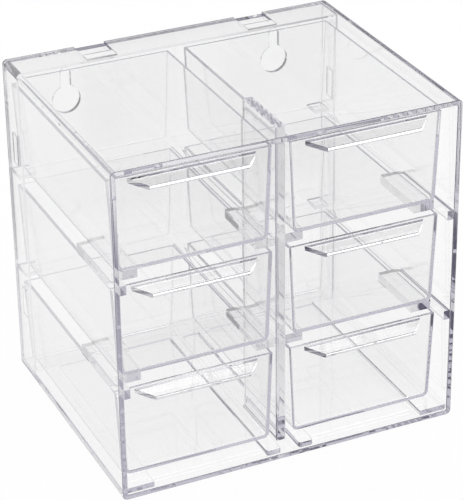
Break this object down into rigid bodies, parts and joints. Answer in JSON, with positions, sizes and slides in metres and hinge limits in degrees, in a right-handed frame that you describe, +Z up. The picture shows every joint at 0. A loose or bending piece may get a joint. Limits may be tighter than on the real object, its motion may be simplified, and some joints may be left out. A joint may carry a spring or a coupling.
{
  "type": "drawer organizer",
  "caption": "Clear moulded organizer cabinet with two columns of pull-out drawers, lip handles and a snap-in back cover with keyhole hangers.",
  "frame": {"origin": "middle of the cabinet's underside", "axes": "+X to the right seen from the front, -Y towards the front where the drawers open, +Z up"},
  "size_m": [0.18, 0.142, 0.175],
  "materials": {
    "sleeve_clear": "clear polystyrene, polished mould",
    "cover_clear": "clear polystyrene, polished mould",
    "drawer_clear": "clear polystyrene, polished mould"
  },
  "bodies": {
    "cabinet": {"cabinet_sleeve": "sleeve_clear", "back_cover": "cover_clear"},
    "top_left_drawer": {"drawer_top_left": "drawer_clear"},
    "top_right_drawer": {"drawer_top_right": "drawer_clear"},
    "middle_left_drawer": {"drawer_middle_left": "drawer_clear"},
    "middle_right_drawer": {"drawer_middle_right": "drawer_clear"},
    "bottom_left_drawer": {"drawer_bottom_left": "drawer_clear"},
    "bottom_right_drawer": {"drawer_bottom_right": "drawer_clear"}
  },
  "joints": [
    {"name": "bottom_left_slide", "type": "slide", "parent": "cabinet", "child": "bottom_left_drawer", "axis": [0, -1, 0], "range_m": [0, 0.1]},
    {"name": "bottom_right_slide", "type": "slide", "parent": "cabinet", "child": "bottom_right_drawer", "axis": [0, -1, 0], "range_m": [0, 0.1]},
    {"name": "middle_left_slide", "type": "slide", "parent": "cabinet", "child": "middle_left_drawer", "axis": [0, -1, 0], "range_m": [0, 0.1]},
    {"name": "middle_right_slide", "type": "slide", "parent": "cabinet", "child": "middle_right_drawer", "axis": [0, -1, 0], "range_m": [0, 0.1]},
    {"name": "top_left_slide", "type": "slide", "parent": "cabinet", "child": "top_left_drawer", "axis": [0, -1, 0], "range_m": [0, 0.1]},
    {"name": "top_right_slide", "type": "slide", "parent": "cabinet", "child": "top_right_drawer", "axis": [0, -1, 0], "range_m": [0, 0.1]}
  ]
}
